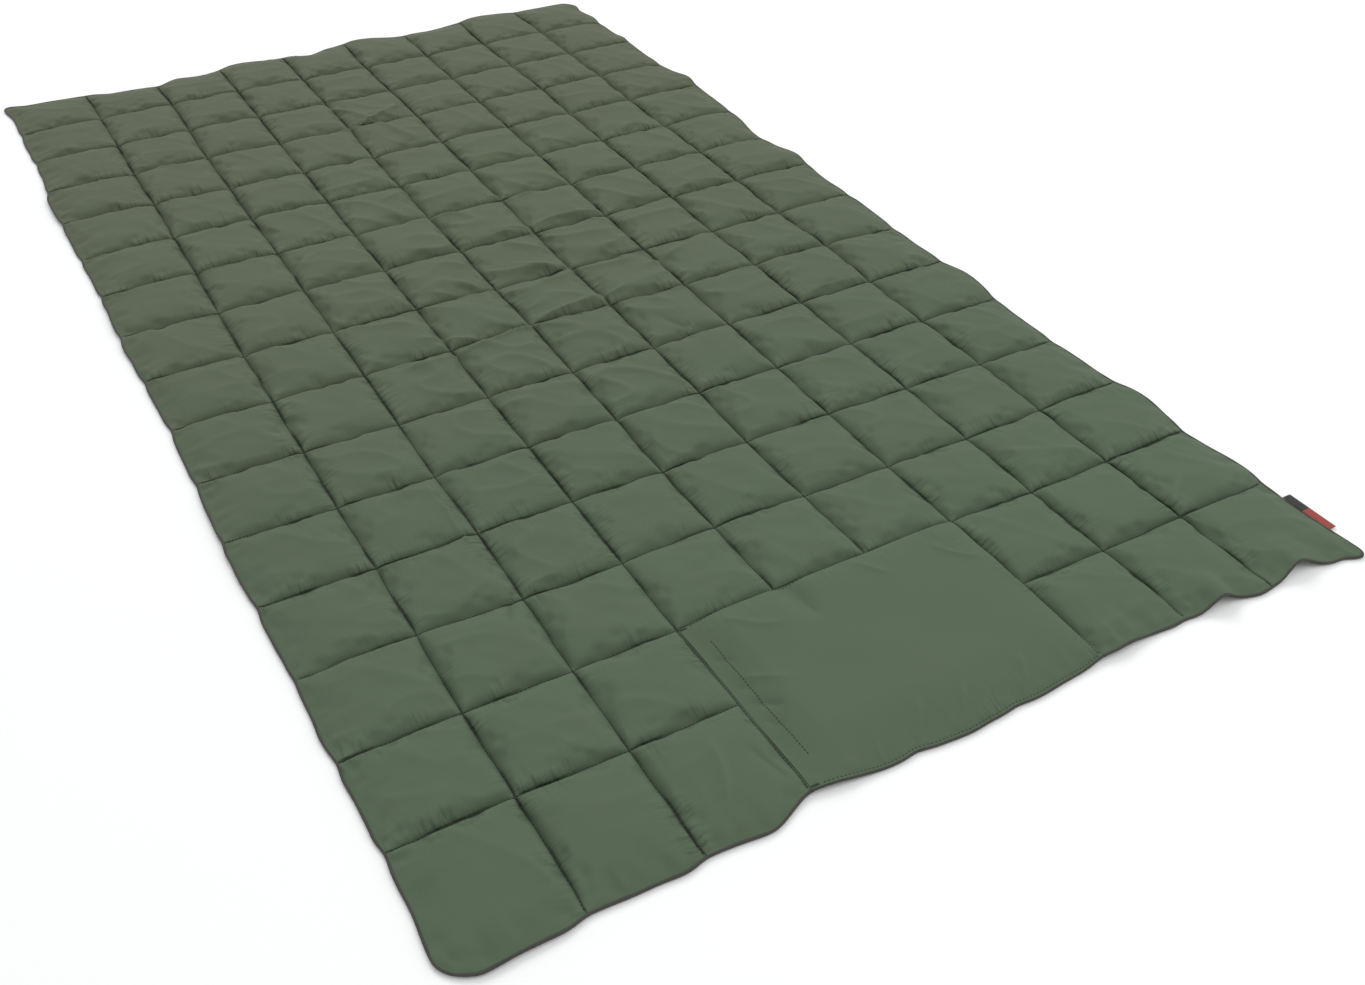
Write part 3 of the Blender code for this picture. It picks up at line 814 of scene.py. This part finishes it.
# painted shade for the grooves and paler crests, worked out from the face's relief
shadeAndWear, gathers = shadeAndRub(top[..., 2]), gathersAt(flatX, flatY)
bottom = np.stack([flatX, flatY, liningHeight(flatX, flatY) + lining["gap"]], -1)
corner = quilt["corner"] - quilt["sheetInset"]
top, bottom = (layOut(roundCorners(p, corner)) for p in (top, bottom))
onColumn = np.zeros(flatX.shape, int) + (gap(flatX, seamX) < 1e-6)
onRow = np.zeros(flatX.shape, int) + 2 * (gap(flatY, seamY) < 1e-6)
creased = onColumn | onRow

leftEnd, rightStart, last = seamColumns[2], seamColumns[5], len(fineColumns) - 1
thirds = {"Left": (0, leftEnd), "Middle": (leftEnd, rightStart), "Right": (rightStart, last)}


def hold(piece, third, slot, *nodes):
    # hides the parts it stands for; a piece of the middle third rides with it, the others stay where they
    # are
    if nodes:
        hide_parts(*nodes)
    if third == "Middle":
        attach(piece, "middle_third")
    else:
        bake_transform(piece)
    return piece


for third, (a, b) in thirds.items():
    parts = [cut(part, a, b) for part in (top, bottom, shadeAndWear, gathers, creased)]
    body = paddedBody("quiltedFace" + third, *parts)
    hold(body, third, "shell_fabric", "top_shell_" + third.lower(), "batting_" + third.lower())
print("quilted face ready")

liningSheet = np.stack([flatX, flatY, liningHeight(flatX, flatY)], -1)
liningSheet = layOut(roundCorners(liningSheet, corner))
for third, (a, b) in thirds.items():
    bm = gridMesh(cut(liningSheet, a, b)[::2, ::2])
    bmesh.ops.reverse_faces(bm, faces=bm.faces)
    bmesh.ops.solidify(bm, geom=bm.faces, thickness=-lining["thickness"])
    bmesh.ops.recalc_face_normals(bm, faces=bm.faces)
    sheet = addPiece("liningSheet" + third, bm, [liningFabric])
    hold(sheet, third, "lining_fabric", "lining_" + third.lower())
print("lining ready")


# stitches

stitch = {
    "pitch": 0.0042, "length": 0.0034, "width": 0.0008, "height": 0.0007,
    "above": 0.0006,          # metres from the seam up to the middle of a stitch
    "below": 0.0010,          # metres up to the stitches of the underside
    "fromEdge": 0.004,        # a row stops this far short of the cloth's edge
}


def stitchRow(length):
    # a straight run of stitches along X, each a small bar whose ends dive into the cloth
    bm = bmesh.new()
    bmesh.ops.create_cube(bm, size=1.0)
    lengthways = [e for e in bm.edges if abs(e.verts[0].co.x - e.verts[1].co.x) > 0.5]
    bmesh.ops.subdivide_edges(bm, edges=lengthways, cuts=2, use_grid_fill=True)
    for vert in bm.verts:
        end = abs(vert.co.x) > 0.4
        vert.co.y *= 0.45 if end else 1.0
        vert.co.z = vert.co.z * (0.5 if end else 1.0) - (0.55 if end else 0.0)
    bmesh.ops.scale(bm, verts=bm.verts, vec=(stitch["length"], stitch["width"], stitch["height"]))
    count = max(int(length / stitch["pitch"]), 1)
    bmesh.ops.translate(bm, verts=bm.verts, vec=((length - (count - 1) * stitch["pitch"]) / 2, 0, 0))
    bmesh.ops.spin(bm, geom=bm.verts[:] + bm.edges[:] + bm.faces[:], cent=(0, 0, 0), axis=(0, 0, 1),
                   angle=0, dvec=(stitch["pitch"], 0, 0), steps=count - 1, use_duplicate=True)
    return asMesh(bm)


def asMesh(bm):
    mesh = bpy.data.meshes.new("spare")
    bm.to_mesh(mesh)
    bm.free()
    return mesh


rowsMade = {}


def addRow(bm, start, end, height, side=1):
    # lays a run of stitches from start to end; side -1 turns it upside down for the underside
    start, end = Vector(start), Vector(end)
    length = round((end - start).length, 4)
    if length not in rowsMade:
        rowsMade[length] = stitchRow(length)
    row = rowsMade[length].copy()
    turn = math.atan2(end.y - start.y, end.x - start.x)
    place = Matrix.Translation((start.x, start.y, height)) @ Matrix.Rotation(turn, 4, "Z")
    if side < 0:
        place = place @ Matrix.Rotation(math.pi, 4, "X")
    row.transform(place)
    bm.from_mesh(row)
    bpy.data.meshes.remove(row)


def quiltingRows(bm, xFrom, xTo, columns):
    upper, lower = quilt["seam"] + stitch["above"], stitch["below"]
    ends = sheetY - stitch["fromEdge"]
    for x in columns:
        hidden = abs(x) < foldX - 0.01
        addRow(bm, (x, pocketFar if hidden else -ends), (x, ends), upper)
        addRow(bm, (x, -ends), (x, ends), lower, -1)
    for y in seamY:
        if not (y < pocketFar - 0.01 and abs(xFrom + xTo) < 0.01):
            addRow(bm, (xFrom, y), (xTo, y), upper)
        addRow(bm, (xFrom, y), (xTo, y), lower, -1)


def laid(piece):
    setCoordinates(piece.data, layOut(coordinates(piece.data)))
    return piece


for third, xFrom, xTo, columns in (("Left", -sheetX + stitch["fromEdge"], -foldX, seamX[:2]),
                                   ("Middle", -foldX, foldX, seamX[2:6]),
                                   ("Right", foldX, sheetX - stitch["fromEdge"], seamX[6:])):
    bm = bmesh.new()
    quiltingRows(bm, xFrom, xTo, columns)
    rows = laid(addPiece("quiltStitches" + third, bm, [sewingThread]))
    hold(rows, third, "thread", "quilt_stitching_" + third.lower())
    print(third, "stitches:", len(rows.data.polygons) // 14)


# the bound edge

tape = {
    "radius": 0.0015, "height": 0.0025, "sides": 12, "step": 0.0045,
    "square": 0.8,                      # below 1 it makes the roll's section squarer
    "pull": 0.07, "pullPitch": 0.0042,  # the stitches pull the roll in
}


def arc(cx, cy, radius, a, b, steps=8):
    angles = np.radians(np.linspace(a, b, steps))
    return [(cx + radius * math.cos(t), cy + radius * math.sin(t)) for t in angles]


def evenly(points, step):
    # the same path with evenly spaced points
    points = np.array(points, float)
    run = np.concatenate([[0], np.cumsum(np.linalg.norm(np.diff(points, axis=0), axis=1))])
    places = np.linspace(0, run[-1], max(int(run[-1] / step), 2) + 1)
    return np.stack([np.interp(places, run, points[:, k]) for k in (0, 1)], -1), places


def bindingPath(third):
    x, y, r = sheetX, sheetY, quilt["corner"] - tape["radius"]
    if third == "Left":
        return [(-foldX, -y), *arc(-x + r, -y + r, r, 270, 180), *arc(-x + r, y - r, r, 180, 90),
                (-foldX, y)]
    if third == "Right":
        return [(foldX, y), *arc(x - r, y - r, r, 90, 0), *arc(x - r, -y + r, r, 0, -90),
                (foldX, -y)]
    return [(foldX, -y), (-foldX, -y)] if third == "Near" else [(-foldX, y), (foldX, y)]


def boundEdge(name, path):
    # a straight tube of tape, then bent along the edge
    line, run = evenly(path, tape["step"])
    bm = bmesh.new()
    bmesh.ops.create_circle(bm, segments=tape["sides"], radius=1.0)
    bmesh.ops.spin(bm, geom=bm.verts[:] + bm.edges[:], cent=(0, 0, 0), axis=(0, 0, 1), angle=0,
                   dvec=(0, 0, 1), steps=len(line) - 1)
    uv = bm.loops.layers.uv.new("tape")
    for face in bm.faces:
        for loop in face.loops:
            where = loop.vert.co
            loop[uv].uv = (float(run[round(where.z)]), math.atan2(where.y, where.x) * tape["radius"])
    bmesh.ops.holes_fill(bm, edges=[e for e in bm.edges if e.is_boundary], sides=0)
    ahead = np.gradient(line, axis=0)
    ahead /= np.linalg.norm(ahead, axis=1, keepdims=True)
    aside = np.stack([ahead[:, 1], -ahead[:, 0]], -1)
    for vert in bm.verts:
        k = round(vert.co.z)
        angle = math.atan2(vert.co.y, vert.co.x)
        # a flattened roll with its stitched lip towards the cloth
        c, s = math.cos(angle), math.sin(angle)
        out = tape["radius"] * math.copysign(abs(c) ** tape["square"], c)
        rise = tape["radius"] * math.copysign(abs(s) ** tape["square"], s)
        pull = 1 + tape["pull"] * math.sin(run[k] / tape["pullPitch"] * 2 * math.pi)
        vert.co = (line[k][0] + aside[k][0] * out * pull, line[k][1] + aside[k][1] * out * pull,
                   tape["height"] + rise * pull)
    bmesh.ops.recalc_face_normals(bm, faces=bm.faces)
    return laid(addPiece(name, bm, [bindingTape]))


for third in ("Left", "Right"):
    hold(boundEdge("edgeBinding" + third, bindingPath(third)), third, "binding_tape",
         "binding_" + third.lower())
for end in ("Near", "Far"):
    hold(boundEdge("edgeBindingMiddle" + end, bindingPath(end)), "Middle", "binding_tape",
         "binding_middle_" + end.lower())
print("binding ready")


# the stow pocket: a flat panel with its mouth on the left

hemLow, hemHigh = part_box("pocket_hem")
pocket = {
    "margin": 0.0042, "top": 0.0150, "reach": 0.040, "thickness": 0.0007,
    "mouth": float(hemLow.x), "mouthHeight": 0.0052, "mouthRun": 0.050,
    "cell": 0.002, "gather": 0.016,
    # x, and half sizes, where a seam behind draws the far edge in
    "notch": (-0.048, 0.014, 0.042), "notchDepth": 0.85,
    "edgeFolds": 0.8, "wave": 0.0013,
    "crest": 0.0030,          # how far a crease may stand above the panel
    "inset": 0.0006,          # the panel stops this far short of the seams around it
    "threadDown": 0.0001,
    # how far the stitches run from the seam on the right, the near edge, the far edge and the mouth
    "fromRight": 0.0026, "fromNear": 0.0027, "fromFar": 0.0020, "fromMouth": 0.011,
    "hemStitch": 0.018, "hemEnds": 0.004,
    "creases": (
        (-0.140, -0.725, -0.070, -0.765, 2.2, 4), (-0.165, -0.795, -0.105, -0.830, 2.0, 4),
        (-0.172, -0.765, -0.145, -0.780, -1.6, 5), (-0.172, -0.808, -0.148, -0.820, -1.5, 5),
        (-0.172, -0.832, -0.135, -0.856, -2.6, 6), (-0.172, -0.862, -0.150, -0.875, -1.6, 5),
        (-0.047, -0.700, -0.043, -0.780, -3.2, 6), (-0.050, -0.948, -0.018, -0.900, 2.6, 4),
        (0.000, -0.948, 0.032, -0.905, 2.6, 4), (0.085, -0.948, 0.095, -0.900, 2.2, 4),
        (0.110, -0.735, 0.170, -0.785, 2.2, 4), (0.020, -0.712, 0.065, -0.755, 2.0, 4),
    ),
}


def panelHeight(x, y):
    rise = dome(pocketFar - y, pocket["reach"], quilt["round"])
    rise = rise * dome(foldX - x, pocket["reach"], quilt["round"])
    rise = rise * dome(y + sheetY - quilt["margin"], quilt["edgeReach"], quilt["edgeRound"])
    at, across, down = pocket["notch"]
    drawnIn = np.exp(-((x - at) / across) ** 2 - ((pocketFar - y) / down) ** 2)
    rise = rise * (1 - pocket["notchDepth"] * drawnIn)
    ceiling = pocket["mouthHeight"] + (pocket["top"] - pocket["mouthHeight"]) * smooth(
        (x - pocket["mouth"]) / pocket["mouthRun"])
    z = pocket["margin"] + (ceiling - pocket["margin"]) * rise
    loose = smooth(rise)
    z += edgeFolds(x, y + sheetY, seamX[3:5], 75) * pocket["edgeFolds"]
    z += pocket["wave"] * fabricNoise(x / 0.06, y / 0.05, 61) * loose
    z += creaseHeight(x, y, pocket["creases"]) * loose
    return np.clip(z, pocket["margin"], pocket["top"] + pocket["crest"])


def panelGrid(x1, x2, y1, y2):
    x, y = np.meshgrid(np.linspace(x1, x2, round((x2 - x1) / pocket["cell"]) + 1),
                       np.linspace(y1, y2, round((y2 - y1) / pocket["cell"]) + 1))
    z = panelHeight(x, y)
    drawn = [np.exp(-(foldX - x) / pocket["gather"]),
             np.exp(-(pocketFar - y) / pocket["gather"]) + np.exp(-(y + sheetY) / pocket["gather"])]
    patchy = np.clip(0.2 + 0.9 * fabricNoise(x / 0.035, y / 0.035, 83), 0, 0.9)
    drawn = [amount * patchy for amount in drawn]
    # the panel gets the same painted shade in its grooves and paler crests
    return gridMesh(np.stack([x, y, z], -1), shadeAndRub(z), np.stack([*drawn, np.zeros_like(x)], -1))


hemLine = float(hemHigh.x)
panelNear, panelEdge = -sheetY, pocketFar - pocket["inset"]


def panelPart(name, isHem):
    # the panel and its hem are cut from one grid, so that they meet edge to edge
    bm = panelGrid(pocket["mouth"], foldX - pocket["inset"], panelNear, panelEdge)
    middles = {f: f.calc_center_median() for f in bm.faces}
    others = [f for f, m in middles.items() if (m.x < hemLine and hemLow.y < m.y < hemHigh.y) != isHem]
    bmesh.ops.delete(bm, geom=others, context="FACES")
    for edge in bm.edges:
        edge.smooth = not edge.is_boundary
    bmesh.ops.solidify(bm, geom=bm.faces, thickness=pocket["thickness"])
    bmesh.ops.recalc_face_normals(bm, faces=bm.faces)
    return laid(addPiece(name, bm, [shellFabric]))


panel = panelPart("pocketPanel", False)
hem = panelPart("pocketHem", True)

threadHeight = pocket["margin"] + pocket["threadDown"]
bm = bmesh.new()
right = foldX - pocket["fromRight"]
near, far = panelNear + pocket["fromNear"], panelEdge - pocket["fromFar"]
addRow(bm, (pocket["mouth"] + pocket["fromMouth"], near), (right, near), threadHeight)
addRow(bm, (right, near), (right, far), threadHeight)
addRow(bm, (right, far), (pocket["mouth"] + pocket["fromMouth"], far), threadHeight)


def sewn(name, bm):
    # stitches follow the height of the panel under them
    piece = addPiece(name, bm, [sewingThread])
    points = coordinates(piece.data)
    points[:, 2] += panelHeight(points[:, 0], points[:, 1]) - pocket["margin"]
    setCoordinates(piece.data, layOut(points))
    return piece


panelStitches = sewn("pocketStitches", bm)

bm = bmesh.new()
hemX, ends = pocket["mouth"] + pocket["hemStitch"], pocket["hemEnds"]
addRow(bm, (hemX, hemLow.y + ends), (hemX, hemHigh.y - ends), threadHeight)
hemStitches = sewn("pocketHemStitches", bm)

tack = {"rows": 13, "start": 0.0008, "pitch": 0.0006, "half": 0.0016}
tacks = {}
for end, y in (("Near", near), ("Far", far)):
    bm = bmesh.new()
    for k in range(tack["rows"]):
        x = pocket["mouth"] + tack["start"] + tack["pitch"] * k
        addRow(bm, (x, y - tack["half"]), (x, y + tack["half"]), threadHeight)
    tacks[end] = sewn("mouthTack" + end, bm)
    hold(tacks[end], "Middle", "thread", "mouth_tack_" + end.lower())

hold(panel, "Middle", "shell_fabric", "pocket_panel")
hold(panelStitches, "Middle", "thread", "pocket_stitching")
for piece, slot, node in ((hem, "shell_fabric", "pocket_hem"), (hemStitches, "thread", "hem_stitching")):
    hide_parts(node)
    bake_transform(piece)
print("pocket ready")


# the folded side label, in two plain colours

label = {
    "black": ("#131314", "#202022"), "red": ("#7f2a22", "#a23a2e"),
    "round": 0.45, "roundUp": 0.9,      # below 1 they make the loop's section squarer
    "sides": 24, "step": 0.002,
}


def labelTab(name, node, colors, slotName):
    low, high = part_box(node)
    bm = bmesh.new()
    bmesh.ops.create_circle(bm, segments=label["sides"], radius=1.0)
    steps = max(round((high.y - low.y) / label["step"]), 4)
    bmesh.ops.spin(bm, geom=bm.verts[:] + bm.edges[:], cent=(0, 0, 0), axis=(0, 0, 1), angle=0,
                   dvec=(0, 0, 1), steps=steps)
    bmesh.ops.holes_fill(bm, edges=[e for e in bm.edges if e.is_boundary], sides=0)
    middle, half = (low + high) / 2, (high - low) / 2
    for vert in bm.verts:
        angle, k = math.atan2(vert.co.y, vert.co.x), vert.co.z
        c, s = math.cos(angle), math.sin(angle)
        x = middle.x + half.x * math.copysign(abs(c) ** label["round"], c)
        y = low.y + (high.y - low.y) * k / steps
        z = middle.z + half.z * math.copysign(abs(s) ** label["roundUp"], s)
        vert.co = (x, y, z)
    bmesh.ops.recalc_face_normals(bm, faces=bm.faces)
    piece = addPiece(name, bm, [satinRibbon("woven_satin_" + slotName, *colors)])
    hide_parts(node)
    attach(piece, "side_label")


labelTab("labelBlack", "label_dark", label["black"], "label_black")
labelTab("labelRed", "label_red", label["red"], "label_red")
print("label ready")
